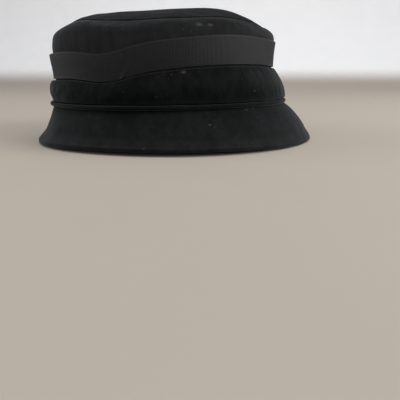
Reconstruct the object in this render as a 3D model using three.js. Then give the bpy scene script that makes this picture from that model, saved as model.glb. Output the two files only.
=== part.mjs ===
// A woman's velvet hat: a shallow rounded crown, a grosgrain hatband, a soft padded cuff with a piping
// under it, and a short brim that turns down. It is drawn as the pieces that a milliner blocks, cuts and
// sews together, foundation and lining included.
//
// Millimetres, +Z up, +X to the front of the hat, -Y to the wearer's right. The origin is on the surface
// that the brim's edge rests on, midway between the outermost points of the brim.
//
// Every piece runs round the hat, so each is a closed half section in (radius, height) that changes a
// little as it is turned. A radius is counted along the hat's length; onHat() narrows it to the oval.
import * as THREE from "three";
import { mergeVertices } from "three/addons/utils/BufferGeometryUtils.js";

// ---- driving dimensions ----

const SEGMENTS = 40; // steps round every ring
const WIRE_SIDES = 6; // of the section of a wire or cord
const CUFF_STEPS = 4; // down the cuff's outer face
const EDGE_STEPS = 3; // round the outside of the brim's edge
const CLEARANCE = 0.3; // between two pieces that lie on each other

// The crown, velvet included.
const CROWN_LENGTH = 200;
const CROWN_WIDTH = 174;
const HEIGHT = 108; // from the brim's edge to the highest point of the tip
const SHOULDER_HEIGHT = 85.8; // where the straight wall turns into the shoulder
const SEAM_HEIGHT = 96; // where the shoulder meets the tip
const SEAM_INSET = 10; // how far the seam lies inside the wall
const SEAM_SLOPE = THREE.MathUtils.degToRad(27);
const TIP_FLAT = 0.56; // share of the tip that is nearly flat
const TIP_PUFF = 28; // how far in from the seam the tip keeps swelling
const APEX_LEAD = 26; // the highest point lies this far in front of the crown's middle
const LEAD_FADE = 1.5; // how fast that lead dies away towards the seam
const RAKE = 0.8; // the front shoulder is this much higher than the middle, and the back one lower
const SLOUCH = 3; // the back shoulder sags this far forwards
const SLOUCH_START = 77.5; // height at which that begins
const SLOUCH_RUN = 18;

// Cloth, foundation and wires.
const VELVET = 1.2;
const CUFF_VELVET = 0.8; // stretched thinner over the wadding
const MULL = 0.6; // cotton flannel that softens the foundation
const BUCKRAM = 0.9;
const LINING = 0.3;
const RIBBON = 0.8;
const WIRE_DIAMETER = 0.9;

// The brim. A reach is counted outwards from the crown's wall, at the front, the sides and the back.
const BRIM_REACH = { front: 39.8, side: 26, back: 20.7 };
const HEADLINE_HEIGHT = 37; // top of the brim where it meets the crown
const SHELF_REACH = { front: 12, side: 8, back: 4 }; // the brim leaves the headline towards this
const SHELF_DROP = 0.5;
const TURN_REACH = { front: 24.4, side: 14, back: 2.6 }; // and comes down to its edge from this
const TURN_HEIGHT = { front: 23.5, side: 19.5, back: 15 };
const EDGE_ARCH = 3; // the edge rises this much at the sides
const REST_SPREAD = THREE.MathUtils.degToRad(27); // it stays level this far round from front and back
const EDGE_TURN_UNDER = 0.78; // the upper velvet ends under the brim at this share of its run
const COLLAR_HEIGHT = 14; // the brim's foundation stands this far up inside the crown
const REST_ANGLE = THREE.MathUtils.degToRad(25); // half the part of the edge that is pressed flat

// The piping and the cuff above it.
const PIPING_DIAMETER = 3.4;
const PIPING_COVER = 0.7;
const PIPING_GAPE = THREE.MathUtils.degToRad(25); // half the slit where the cover's edges run in
const PIPING_PLACE = 0.34; // share of the brim's run at which it lies
const CUFF_SETBACK = 1.2; // the foot of the cuff lies this far inside the piping's outer edge
const CUFF_PUFF = { front: 7, side: 6.2, back: 5.6 }; // how far its upper part stands out
const PUFF_DROP = 0.3; // share of the cuff's height down to there
const SWELL_DROP = 0.6; // and down to where it reaches furthest

// The hatband. It is high at the front, and dips behind the wearer's right ear.
const HATBAND_WIDTH = 20;
const HATBAND_MIDDLE = 67.3;
const HATBAND_RISE = 5.7; // the front is this much higher than the middle, and the back lower
const SWAYS = [
  { height: 3.7, at: -61, spread: 42 },
  { height: -4.9, at: -112, spread: 14 },
];

// The sweatband.
const SWEATBAND_WIDTH = 25;
const SWEATBAND_DROP = 2; // it starts this far below the headline

// ---- from the half section to the hat ----

const CROWN_RADIUS = CROWN_LENGTH / 2;
const NARROWING = (CROWN_LENGTH - CROWN_WIDTH) / 2;
const TIP_RADIUS = CROWN_RADIUS - SEAM_INSET;
const CROWN_SETBACK = (BRIM_REACH.front - BRIM_REACH.back) / 2;

const smooth = (share) => THREE.MathUtils.smoothstep(share, 0, 1);

// A size that differs at the front, the sides and the back, at an angle counted from the front.
function around({ front, side, back }, angle) {
  const facing = Math.cos(angle);
  return side + ((front - back) / 2) * facing + ((front + back) / 2 - side) * facing ** 2;
}

// Where a point of the half section lies on the hat. Walls keep their thickness all round, and the tip
// inside the shoulder is squeezed to the same oval and drawn towards its highest point.
function onHat(radius, height, angle) {
  const facing = Math.cos(angle);
  const halfWidth = radius > TIP_RADIUS ? radius - NARROWING : radius * (1 - NARROWING / TIP_RADIUS);
  const lead = APEX_LEAD * Math.max(0, 1 - radius / CROWN_RADIUS) ** LEAD_FADE;
  const sag = SLOUCH * smooth((height - SLOUCH_START) / SLOUCH_RUN) * ((1 - facing) / 2) ** 2;
  const rake = RAKE * smooth((height - HATBAND_MIDDLE) / (HEIGHT - HATBAND_MIDDLE)) * facing;
  return new THREE.Vector3(
    radius * facing - CROWN_SETBACK + lead + sag * Math.min(1, radius / CROWN_RADIUS),
    halfWidth * Math.sin(angle),
    height + rake * Math.min(1, radius / CROWN_RADIUS),
  );
}

// Turns a closed half section into a piece. sectionAt(angle) gives the section's points at that angle.
function turned(name, material, sectionAt) {
  const pointCount = sectionAt(0).length;
  const lathe = new THREE.LatheGeometry(sectionAt(0), SEGMENTS);
  lathe.deleteAttribute("normal");
  lathe.deleteAttribute("uv");
  const place = lathe.getAttribute("position");
  for (let turn = 0; turn <= SEGMENTS; turn++) {
    const angle = (2 * Math.PI * (turn % SEGMENTS)) / SEGMENTS;
    sectionAt(angle).forEach((point, i) => {
      const at = onHat(point.x, point.y, angle);
      place.setXYZ(turn * pointCount + i, at.x, at.y, at.z);
    });
  }
  const geometry = mergeVertices(lathe, 1e-4);
  geometry.computeVertexNormals();
  const piece = new THREE.Mesh(geometry, material);
  piece.name = name;
  return piece;
}

const point = (radius, height) => new THREE.Vector2(radius, height);

// A closed section between an outer and an inner line that run the same way.
const between = (outer, inner) => [...inner, ...outer.toReversed(), inner[0].clone()];

// The same for a cap, whose two lines start on the axis and so need no closing there.
const capBetween = (outer, inner) => [...inner, ...outer.toReversed()];

function arc(centre, radius, from, to, steps) {
  const points = [];
  for (let i = 0; i <= steps; i++) {
    const turn = from + ((to - from) * i) / steps;
    points.push(point(centre.x + radius * Math.cos(turn), centre.y + radius * Math.sin(turn)));
  }
  return points;
}

// A point at a share of a line, lifted off it to the outside.
function off(line, share, lift) {
  const along = line.getTangent(share);
  return line.getPoint(share).add(point(-along.y, along.x).multiplyScalar(lift));
}

// The closed section of a wire or cord.
function wireSection(centre, diameter) {
  const points = arc(centre, diameter / 2, 0, 2 * Math.PI, WIRE_SIDES);
  return [...points.slice(0, -1), points[0].clone()];
}

// ---- lines of the crown ----

// The crown's outline is the tip, from the axis to the seam, then the shoulder, and then a straight wall.
const seam = point(CROWN_RADIUS - SEAM_INSET, SEAM_HEIGHT);
const seamwards = point(Math.cos(SEAM_SLOPE), -Math.sin(SEAM_SLOPE));
const ROUNDING = 0.55; // length of a curve's handle, as a share, that makes it close to an arc

const tipLine = new THREE.CubicBezierCurve(
  point(0, HEIGHT),
  point(TIP_FLAT * seam.x, HEIGHT),
  seam.clone().addScaledVector(seamwards, -TIP_PUFF),
  seam,
);
const shoulderLine = new THREE.CubicBezierCurve(
  seam,
  seam.clone().addScaledVector(seamwards, ROUNDING * SEAM_INSET),
  point(CROWN_RADIUS, SHOULDER_HEIGHT + ROUNDING * (SEAM_HEIGHT - SHOULDER_HEIGHT)),
  point(CROWN_RADIUS, SHOULDER_HEIGHT),
);

// Every layer bends at the same shares of these lines, so that no layer cuts into the next.
const TIP_BENDS = [0.4, 0.7, 0.88];
const SHOULDER_BENDS = [0.35, 0.7, 1];

// From the middle of the tip out to the seam, or a little short of it.
function tipAt(depth, short = 0) {
  const end = 1 - short / tipLine.getLength();
  return [point(0, HEIGHT - depth), ...[...TIP_BENDS, end].map((share) => off(tipLine, share, -depth))];
}

// From the seam over the shoulder and down the wall to its foot. The wall sags only above SLOUCH_START.
function sideAt(depth, foot, short = 0) {
  const start = short / shoulderLine.getLength();
  return [
    ...[start, ...SHOULDER_BENDS].map((share) => off(shoulderLine, share, -depth)),
    point(CROWN_RADIUS - depth, SLOUCH_START),
    point(CROWN_RADIUS - depth, foot),
  ];
}

const crownAt = (depth, foot) => [...tipAt(depth).slice(0, -1), ...sideAt(depth, foot)];

// How deep each layer's outer face lies, from the velvet inwards.
const mullDepth = VELVET + CLEARANCE;
const buckramDepth = mullDepth + MULL + CLEARANCE;
const collarDepth = buckramDepth + BUCKRAM + CLEARANCE;
const liningDepth = collarDepth + BUCKRAM + CLEARANCE;
const sweatbandDepth = liningDepth + LINING + CLEARANCE;

// ---- lines of the brim ----

const BRIM_HALF = VELVET + CLEARANCE + BUCKRAM / 2; // from the brim's middle line to either face

// How far the edge has risen from the surface that the hat stands on.
function edgeRise(angle) {
  const level = Math.sin(REST_SPREAD);
  return EDGE_ARCH * smooth((Math.abs(Math.sin(angle)) - level) / (1 - level));
}

// The middle of the brim's thickness, from the headline to the centre of the edge wire.
function brimLine(angle) {
  const start = HEADLINE_HEIGHT - BRIM_HALF;
  const edge = BRIM_HALF * Math.cos(REST_ANGLE) + edgeRise(angle);
  return new THREE.CubicBezierCurve(
    point(CROWN_RADIUS - collarDepth + CLEARANCE, start),
    point(CROWN_RADIUS + around(SHELF_REACH, angle), start - SHELF_DROP),
    point(CROWN_RADIUS + around(TURN_REACH, angle), around(TURN_HEIGHT, angle)),
    point(CROWN_RADIUS + around(BRIM_REACH, angle) - BRIM_HALF, edge),
  );
}

// Every layer bends at the same shares of the brim's run, so that no layer cuts into the next.
const EDGE = 1;
const BRIM_BENDS = [
  PIPING_PLACE / 2,
  PIPING_PLACE,
  (PIPING_PLACE + EDGE_TURN_UNDER) / 2,
  EDGE_TURN_UNDER,
];
const brimAt = (line, lift, shares) => shares.map((share) => off(line, share, lift));

function pipingCentre(angle) {
  return off(brimLine(angle), PIPING_PLACE, BRIM_HALF + CLEARANCE + PIPING_DIAMETER / 2);
}

// ---- lines of the hatband and the cuff ----

// A rise or dip that dies away within its spread, in degrees, to both sides.
function sway({ height, at, spread }, angle) {
  const apart = THREE.MathUtils.radToDeg(angle) - at;
  const nearest = apart - 360 * Math.round(apart / 360);
  return height * Math.exp(-((nearest / spread) ** 2));
}

const hatbandHeight = (angle) =>
  SWAYS.reduce((sum, each) => sum + sway(each, angle), HATBAND_MIDDLE + HATBAND_RISE * Math.cos(angle));

const cuffInside = CROWN_RADIUS + CLEARANCE;

// The cuff's outline, or a line that deep inside it: from the top of its outer face down to its foot, in
// along its base to the crown's wall, and up the wall to the top.
function cuffLine(angle, depth) {
  const piping = pipingCentre(angle);
  const reach = piping.x + PIPING_DIAMETER / 2 - CUFF_SETBACK;
  const foot = piping.y + PIPING_DIAMETER / 2 + CLEARANCE;
  const heel = HEADLINE_HEIGHT + CLEARANCE;
  const fall = (foot - heel) / (reach - cuffInside);
  const baseAt = (radius) => heel + fall * (radius - cuffInside) + depth * Math.hypot(1, fall);
  const top = hatbandHeight(angle) - HATBAND_WIDTH / 2 - CLEARANCE;
  const face = new THREE.CubicBezierCurve(
    point(cuffInside + 2 * CUFF_VELVET + CLEARANCE - depth, top),
    point(CROWN_RADIUS + around(CUFF_PUFF, angle) - depth, top - PUFF_DROP * (top - foot)),
    point(reach - depth, top - SWELL_DROP * (top - foot)),
    point(reach - depth, baseAt(reach - depth)),
  );
  const wall = cuffInside + depth;
  return [...face.getPoints(CUFF_STEPS), point(wall, baseAt(wall)), point(wall, top)];
}

// ---- materials ----

const cloth = (color, roughness) => new THREE.MeshStandardMaterial({ color, roughness, metalness: 0 });
const velvet = cloth(0x17181b, 0.95);
const grosgrain = cloth(0x242227, 0.75);
const satin = cloth(0x18181a, 0.4);
const buckram = cloth(0xcfc6b2, 0.9);
const cotton = cloth(0xd8d2c4, 0.95);
const steelWire = new THREE.MeshStandardMaterial({ color: 0x55565a, roughness: 0.4, metalness: 1 });

// ---- the crown ----

const crownFoot = HEADLINE_HEIGHT + 2 * CLEARANCE;
const sweatbandFoot = HEADLINE_HEIGHT - SWEATBAND_DROP;
const seamGap = CLEARANCE / 2;

const crownTipVelvet = () =>
  turned("crown_tip_velvet", velvet, () => capBetween(tipAt(0, seamGap), tipAt(VELVET, seamGap)));

const crownSideVelvet = () =>
  turned("crown_side_velvet", velvet, () =>
    between(sideAt(0, crownFoot, seamGap), sideAt(VELVET, crownFoot, seamGap)));

const crownMull = () =>
  turned("crown_mull", cotton, () =>
    capBetween(crownAt(mullDepth, crownFoot), crownAt(mullDepth + MULL, crownFoot)));

// The blocked foundation stops above the wire that is sewn along its foot.
function crownBuckram() {
  const foot = HEADLINE_HEIGHT + WIRE_DIAMETER + 2 * CLEARANCE;
  return turned("crown_buckram", buckram, () =>
    capBetween(crownAt(buckramDepth, foot), crownAt(buckramDepth + BUCKRAM, foot)));
}

function headSizeWire() {
  const radius = CROWN_RADIUS - buckramDepth - BUCKRAM / 2;
  const centre = point(radius, HEADLINE_HEIGHT + CLEARANCE + WIRE_DIAMETER / 2);
  return turned("head_size_wire", steelWire, () => wireSection(centre, WIRE_DIAMETER));
}

const liningTip = () =>
  turned("lining_tip", satin, () =>
    capBetween(tipAt(liningDepth, seamGap), tipAt(liningDepth + LINING, seamGap)));

const liningSide = () =>
  turned("lining_side", satin, () =>
    between(
      sideAt(liningDepth, sweatbandFoot, seamGap),
      sideAt(liningDepth + LINING, sweatbandFoot, seamGap),
    ));

function sweatband() {
  const wall = (depth) => [
    point(CROWN_RADIUS - depth, sweatbandFoot + SWEATBAND_WIDTH),
    point(CROWN_RADIUS - depth, sweatbandFoot),
  ];
  return turned("sweatband", grosgrain, () => between(wall(sweatbandDepth), wall(sweatbandDepth + RIBBON)));
}

// ---- the hatband, the cuff and the piping ----

function hatband() {
  const wall = (radius, angle) => [
    point(radius, hatbandHeight(angle) + HATBAND_WIDTH / 2),
    point(radius, hatbandHeight(angle) - HATBAND_WIDTH / 2),
  ];
  const inside = CROWN_RADIUS + CLEARANCE;
  return turned("hatband_ribbon", grosgrain, (angle) =>
    between(wall(inside + RIBBON, angle), wall(inside, angle)));
}

// A strip folded double at the foot: its outer face, the fold, and the face against the crown.
const cuffVelvet = () =>
  turned("cuff_velvet", velvet, (angle) => between(cuffLine(angle, 0), cuffLine(angle, CUFF_VELVET)));

// The wadding fills the fold up to where it grows too narrow.
const cuffWadding = () =>
  turned("cuff_wadding", cotton, (angle) => {
    const [, ...line] = cuffLine(angle, CUFF_VELVET + 2 * CLEARANCE);
    const shut = point(line.at(-1).x, line[0].y);
    return [shut, ...line.slice(0, -1).toReversed(), shut.clone()];
  });

// The bias strip round the cord, open where its two edges run in towards the crown.
function pipingCover() {
  const radius = PIPING_DIAMETER / 2;
  return turned("piping_cover", velvet, (angle) => {
    const centre = pipingCentre(angle);
    const wrap = (r) => arc(centre, r, Math.PI - PIPING_GAPE, PIPING_GAPE - Math.PI, WIRE_SIDES);
    return between(wrap(radius), wrap(radius - PIPING_COVER));
  });
}

const pipingCord = () =>
  turned("piping_cord", cotton, (angle) =>
    wireSection(pipingCentre(angle), PIPING_DIAMETER - 2 * (PIPING_COVER + CLEARANCE)));

// ---- the brim ----

const edgeWireCentre = (line) => line.getPoint(EDGE);

// The upper velvet runs out over the brim, round the edge wire and back underneath. Where it turns under,
// it is pressed flat against the surface that the hat stands on.
function brimTopVelvet() {
  const face = (line, radius) => {
    const centre = edgeWireCentre(line);
    const along = line.getTangent(EDGE);
    const start = Math.atan2(along.x, -along.y);
    const down = -Math.PI / 2;
    return [
      ...brimAt(line, radius, [0, ...BRIM_BENDS]),
      ...arc(centre, radius, start, down + REST_ANGLE, EDGE_STEPS),
      ...arc(centre, radius, down - REST_ANGLE, start - Math.PI, 1),
      off(line, EDGE_TURN_UNDER, -radius),
    ];
  };
  return turned("brim_top_velvet", velvet, (angle) => {
    const line = brimLine(angle);
    return between(face(line, BRIM_HALF), face(line, BRIM_HALF - VELVET));
  });
}

// The foundation, with the collar that stands up inside the crown.
function brimBuckram() {
  const face = (line, radius, lift) => {
    const end = EDGE - (WIRE_DIAMETER / 2 + CLEARANCE) / line.getLength();
    const inner = point(radius, off(line, 0, lift).y);
    const top = point(radius, HEADLINE_HEIGHT + COLLAR_HEIGHT);
    return [top, inner, ...brimAt(line, lift, [...BRIM_BENDS, end])];
  };
  return turned("brim_buckram", buckram, (angle) => {
    const line = brimLine(angle);
    const radius = CROWN_RADIUS - collarDepth;
    return between(face(line, radius, BUCKRAM / 2), face(line, radius - BUCKRAM, -BUCKRAM / 2));
  });
}

const brimEdgeWire = () =>
  turned("brim_edge_wire", steelWire, (angle) =>
    wireSection(edgeWireCentre(brimLine(angle)), WIRE_DIAMETER));

function brimUnderVelvet() {
  const face = (line, lift) => {
    const end = EDGE_TURN_UNDER - CLEARANCE / line.getLength();
    const inner = point(CROWN_RADIUS - sweatbandDepth + CLEARANCE, off(line, 0, lift).y);
    return [inner, ...brimAt(line, lift, [...BRIM_BENDS.slice(0, -1), end])];
  };
  return turned("brim_under_velvet", velvet, (angle) => {
    const line = brimLine(angle);
    return between(face(line, VELVET - BRIM_HALF), face(line, -BRIM_HALF));
  });
}

const hat = new THREE.Group();
hat.add(crownTipVelvet(), crownSideVelvet(), crownMull(), crownBuckram(), headSizeWire());
hat.add(liningTip(), liningSide(), sweatband());
hat.add(hatband(), cuffVelvet(), cuffWadding(), pipingCover(), pipingCord());
hat.add(brimTopVelvet(), brimBuckram(), brimEdgeWire(), brimUnderVelvet());

export default hat;
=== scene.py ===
# The looks of a black velvet hat, outside and inside. Its lines follow the CAD model's, drawn finer, with
# seams, gathers, folds and the unevenness of a hat that has been handled. Lengths are in millimetres
# until a mesh is made.
import bpy
import bmesh
import math
import numpy as np
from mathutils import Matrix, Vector


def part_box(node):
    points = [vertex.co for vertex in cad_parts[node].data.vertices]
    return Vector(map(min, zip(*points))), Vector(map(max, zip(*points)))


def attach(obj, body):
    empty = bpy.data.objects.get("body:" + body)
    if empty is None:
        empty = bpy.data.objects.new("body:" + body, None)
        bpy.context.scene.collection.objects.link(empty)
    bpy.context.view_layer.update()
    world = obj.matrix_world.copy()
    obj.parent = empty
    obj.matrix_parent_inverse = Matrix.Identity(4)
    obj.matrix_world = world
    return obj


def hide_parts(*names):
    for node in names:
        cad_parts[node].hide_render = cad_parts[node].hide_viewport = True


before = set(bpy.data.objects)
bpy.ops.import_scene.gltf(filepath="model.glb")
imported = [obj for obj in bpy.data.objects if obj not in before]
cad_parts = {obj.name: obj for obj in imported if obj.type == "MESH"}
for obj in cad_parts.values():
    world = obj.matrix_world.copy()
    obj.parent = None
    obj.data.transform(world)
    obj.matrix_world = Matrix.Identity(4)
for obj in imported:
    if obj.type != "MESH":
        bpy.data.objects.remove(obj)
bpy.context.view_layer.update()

MM = 0.001
TURN = 2 * math.pi


# ---- sizes, from the frame ----

def span(node):
    """The lowest and highest corner of a CAD node, in millimetres."""
    low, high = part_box(node)
    return np.array(low) / MM, np.array(high) / MM


side_low, side_high = span("crown_side_velvet")
brim_low, brim_high = span("brim_top_velvet")

CROWN_RADIUS = (side_high[0] - side_low[0]) / 2
CROWN_X = (side_high[0] + side_low[0]) / 2
NARROWING = CROWN_RADIUS - side_high[1]
CROWN_FOOT = side_low[2]
HEIGHT = span("crown_tip_velvet")[1][2]
HEADLINE = brim_high[2]
BRIM_REACH = (
    brim_high[0] - CROWN_X - CROWN_RADIUS,
    brim_high[1] - side_high[1],
    CROWN_X - brim_low[0] - CROWN_RADIUS,
)

# ---- the crown's lines, as in the CAD model ----

SHOULDER_HEIGHT = 85.8
SEAM_HEIGHT = 96.0
SEAM_INSET = 10.0
SEAM_SLOPE = math.radians(27)
TIP_FLAT = 0.56
TIP_PUFF = 28.0
APEX_LEAD = 26.0
LEAD_FADE = 1.5
RAKE = 0.8
SLOUCH = 3.0
SLOUCH_START = 77.5
SLOUCH_RUN = 18.0
ROUNDING = 0.55
TIP_RADIUS = CROWN_RADIUS - SEAM_INSET

# ---- cloth, foundation and wires ----

CLEARANCE = 0.3
VELVET = 1.2
CUFF_VELVET = 0.8
MULL = 0.6
BUCKRAM = 0.9
LINING = 0.3
RIBBON = 0.8
WIRE = 0.9

MULL_DEPTH = VELVET + CLEARANCE
BUCKRAM_DEPTH = MULL_DEPTH + MULL + CLEARANCE
COLLAR_DEPTH = BUCKRAM_DEPTH + BUCKRAM + CLEARANCE
LINING_DEPTH = COLLAR_DEPTH + BUCKRAM + CLEARANCE
SWEATBAND_DEPTH = LINING_DEPTH + LINING + CLEARANCE
BRIM_HALF = VELVET + CLEARANCE + BUCKRAM / 2

# ---- the brim: sizes at the front, the sides and the back ----

SHELF_REACH = (12.0, 8.0, 4.0)
SHELF_DROP = 0.5
TURN_REACH = (24.4, 14.0, 2.6)
TURN_HEIGHT = (23.5, 19.5, 15.0)
EDGE_TURN_UNDER = 0.78
EDGE_ARCH = 3.0
CORNER_REACH = 3.2  # how much fuller the edge is between the sides and the back
CORNER_PLACE = 134.0  # degrees from the front
CORNER_SPREAD = 20.0
BACK_FLAT = 2.0  # and how much flatter at the back
BACK_PLACE = 172.0
BACK_SPREAD = 22.0
REST_SPREAD = math.radians(27)
REST_ANGLE = math.radians(25)
COLLAR_HEIGHT = 14.0

# ---- piping, cuff, hatband and sweatband ----

PIPING = 3.4
PIPING_COVER = 0.7
PIPING_GAPE = math.radians(25)
PIPING_PLACE = 0.34  # share of the brim's run
PIPING_CLIMB = 0.06  # and less by this at the back
CUFF_SETBACK = (0.4, 1.2, 2.4)
CUFF_PUFF = (5.7, 6.2, 9.8)
PUFF_DROP = 0.3
SWELL_DROP = 0.6

BAND_WIDTH = 20.0
BAND_MIDDLE = 67.3
BAND_RISE = 5.7
SWAYS = ((3.7, -61, 42), (-4.9, -112, 14), (1.3, -168, 38))  # height, place and spread in degrees

SWEATBAND_WIDTH = 25.0
SWEATBAND_FOOT = HEADLINE - 2.0

# ---- the soft crown, uneven where it has been handled ----

CROWN_DENTS = ((1.9, 42, 23), (-1.3, -26, 20), (1.7, -70, 14), (-0.9, 76, 9))  # rise, place along X, spread
CROWN_NOSE = 1.4  # how far the shoulder stands out at the front
NOSE_HEIGHT = 88.0
NOSE_SPREAD = 10.0


# ---- the shape of the hat ----

def smooth(x):
    """0 up to 0, 1 from 1, and an even rise between them."""
    x = np.clip(x, 0, 1)
    return x * x * (3 - 2 * x)


def bell(x, spread):
    """1 at 0, dying away on both sides."""
    return np.exp(-((x / spread) ** 2))


def unit(vectors):
    return vectors / np.linalg.norm(vectors, axis=-1, keepdims=True)


def around(size, angle):
    """A size that differs at the front, the sides and the back."""
    front, side, back = size
    facing = np.cos(angle)
    return side + (front - back) / 2 * facing + ((front + back) / 2 - side) * facing**2


def on_hat(place, angle):
    """Where points of the half section, each a (radius, height), lie on the hat."""
    radius, height = place[..., 0], place[..., 1]
    facing = np.cos(angle)
    inside = radius * (1 - NARROWING / TIP_RADIUS)
    half_width = np.where(radius > TIP_RADIUS, radius - NARROWING, inside)
    lead = APEX_LEAD * np.maximum(0, 1 - radius / CROWN_RADIUS) ** LEAD_FADE
    sag = SLOUCH * smooth((height - SLOUCH_START) / SLOUCH_RUN) * ((1 - facing) / 2) ** 2
    rake = RAKE * smooth((height - BAND_MIDDLE) / (HEIGHT - BAND_MIDDLE)) * facing
    share = np.minimum(1, radius / CROWN_RADIUS)
    nose = CROWN_NOSE * bell(height - NOSE_HEIGHT, NOSE_SPREAD) * np.maximum(0, facing) ** 4
    x = radius * facing + CROWN_X + lead + (sag + nose) * share
    uneven = sum(rise * bell(x - place, spread) for rise, place, spread in CROWN_DENTS)
    uneven = uneven * smooth((height - SLOUCH_START) / SLOUCH_RUN)
    return np.stack([x, half_width * np.sin(angle), height + rake * share + uneven], -1)


def pair(radius, height):
    return np.stack(np.broadcast_arrays(radius, height), -1)


def bezier(points, share):
    """Places and outward unit normals along a cubic curve, for each angle and each share of it."""
    a, b, c, d = points
    t = np.asarray(share, float)[..., None]
    place = (1 - t) ** 3 * a + 3 * (1 - t) ** 2 * t * b + 3 * (1 - t) * t**2 * c + t**3 * d
    along = unit((1 - t) ** 2 * (b - a) + 2 * (1 - t) * t * (c - b) + t**2 * (d - c))
    return place, np.stack([-along[..., 1], along[..., 0]], -1)


def lifted(line, share, lift):
    place, out = bezier(line, share)
    return place + out * np.asarray(lift, float)[..., None]


SEAM = np.array([TIP_RADIUS, SEAM_HEIGHT])
SEAMWARDS = np.array([math.cos(SEAM_SLOPE), -math.sin(SEAM_SLOPE)])
TIP_LINE = (pair(0, HEIGHT), pair(TIP_FLAT * TIP_RADIUS, HEIGHT), SEAM - TIP_PUFF * SEAMWARDS, SEAM)
SHOULDER_LINE = (
    SEAM,
    SEAM + ROUNDING * SEAM_INSET * SEAMWARDS,
    pair(CROWN_RADIUS, SHOULDER_HEIGHT + ROUNDING * (SEAM_HEIGHT - SHOULDER_HEIGHT)),
    pair(CROWN_RADIUS, SHOULDER_HEIGHT),
)
TIP_RUN = 95.0  # lengths of the two lines
SHOULDER_RUN = 14.4


def brim_line(angle):
    """The middle of the brim's thickness, from the headline to the centre of the edge wire."""
    start = HEADLINE - BRIM_HALF
    level = math.sin(REST_SPREAD)
    rise = EDGE_ARCH * smooth((np.abs(np.sin(angle)) - level) / (1 - level))
    turned = np.degrees(np.arccos(np.cos(angle)))
    corner = CORNER_REACH * bell(turned - CORNER_PLACE, CORNER_SPREAD)
    reach = around(BRIM_REACH, angle) + corner - BACK_FLAT * bell(turned - BACK_PLACE, BACK_SPREAD)
    return (
        pair(CROWN_RADIUS - COLLAR_DEPTH + CLEARANCE, start),
        pair(CROWN_RADIUS + around(SHELF_REACH, angle), start - SHELF_DROP),
        pair(CROWN_RADIUS + around(TURN_REACH, angle), around(TURN_HEIGHT, angle)),
        pair(CROWN_RADIUS + reach - BRIM_HALF, BRIM_HALF * math.cos(REST_ANGLE) + rise),
    )


def backness(angle):
    """1 at the back of the hat, dying away towards the sides."""
    return ((1 - np.cos(angle)) / 2) ** 4


def piping_centre(angle):
    place = PIPING_PLACE - PIPING_CLIMB * backness(angle)
    return lifted(brim_line(angle), place, BRIM_HALF + CLEARANCE + PIPING / 2)


def band_height(angle):
    """The height of the hatband's middle, which dips behind the wearer's right ear."""
    height = BAND_MIDDLE + BAND_RISE * np.cos(angle)
    for rise, place, spread in SWAYS:
        apart = np.degrees(angle) - place
        height = height + rise * bell(apart - 360 * np.round(apart / 360), spread)
    return height


def band_top(angle):
    return band_height(angle) + BAND_WIDTH / 2


BAND_IN = CROWN_RADIUS + CLEARANCE


def cuff_lines(angle, depth):
    """The cuff's face, the inner end of its base and the top of its wall, at that depth inside it."""
    piping = piping_centre(angle)
    reach = piping[..., 0] + PIPING / 2 - around(CUFF_SETBACK, angle)
    foot = piping[..., 1] + PIPING / 2 + CLEARANCE
    heel = HEADLINE + CLEARANCE
    fall = (foot - heel) / (reach - BAND_IN)
    top = band_height(angle) - BAND_WIDTH / 2 - CLEARANCE

    def base(radius):
        return heel + fall * (radius - BAND_IN) + depth * np.hypot(1, fall)

    face = (
        pair(BAND_IN + 2 * CUFF_VELVET + CLEARANCE - depth, top),
        pair(CROWN_RADIUS + around(CUFF_PUFF, angle) - depth, top - PUFF_DROP * (top - foot)),
        pair(reach - depth, top - SWELL_DROP * (top - foot)),
        pair(reach - depth, base(reach - depth)),
    )
    wall = BAND_IN + depth
    return face, pair(wall, base(wall)), pair(wall, top)


# ---- meshes ----

def turns(count):
    """Angles round the hat, as a column."""
    return (np.arange(count) * TURN / count)[:, None]


def row(count):
    """Shares from 0 to 1, as a row."""
    return np.linspace(0, 1, count)[None, :]


def loft(name, grid, closed=True, **marks):
    """A mesh over rows of points that run round the hat. closed joins each row's end to its start.
    Each mark gives every point a number that the material reads."""
    rows, columns = grid.shape[:2]
    index = np.arange(rows * columns).reshape(rows, columns)
    beside = np.roll(index, -1, 0)
    quads = np.stack([index, beside, np.roll(beside, -1, 1), np.roll(index, -1, 1)], -1)
    if not closed:
        quads = quads[:, :-1]
    mesh = bpy.data.meshes.new(name)
    mesh.from_pydata((grid.reshape(-1, 3) * MM).tolist(), [], quads.reshape(-1, 4).tolist())
    for mark, values in marks.items():
        values = np.broadcast_to(values, (rows, columns)).astype(np.float32)
        mesh.attributes.new(mark, "FLOAT", "POINT").data.foreach_set("value", values.ravel())
    return shown(name, mesh)


def added(name, data):
    """A new object in the scene."""
    made = bpy.data.objects.new(name, data)
    bpy.context.scene.collection.objects.link(made)
    return made


def shown(name, mesh):
    """An object with that mesh, cleaned up: points joined, faces turned outwards."""
    body = bmesh.new()
    body.from_mesh(mesh)
    bmesh.ops.remove_doubles(body, verts=body.verts, dist=1e-7)
    bmesh.ops.dissolve_degenerate(body, edges=body.edges, dist=1e-8)
    bmesh.ops.recalc_face_normals(body, faces=body.faces)
    body.to_mesh(mesh)
    body.free()
    mesh.shade_smooth()
    mesh.set_sharp_from_angle(angle=math.radians(55))
    return added(name, mesh)


def layer(name, outer, inner, closed=True, **marks):
    """A layer of cloth between two faces whose points run the same way, with marks on the outer one."""
    bare = np.zeros(inner.shape[:2])
    marks = {mark: np.concatenate([values + bare, bare], 1) for mark, values in marks.items()}
    return loft(name, np.concatenate([outer, inner[:, ::-1]], 1), closed, **marks)


def spokes(turn):
    """Directions in the half section, at those angles from outwards to upwards."""
    return np.stack([np.cos(turn), np.sin(turn)], -1)


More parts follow.
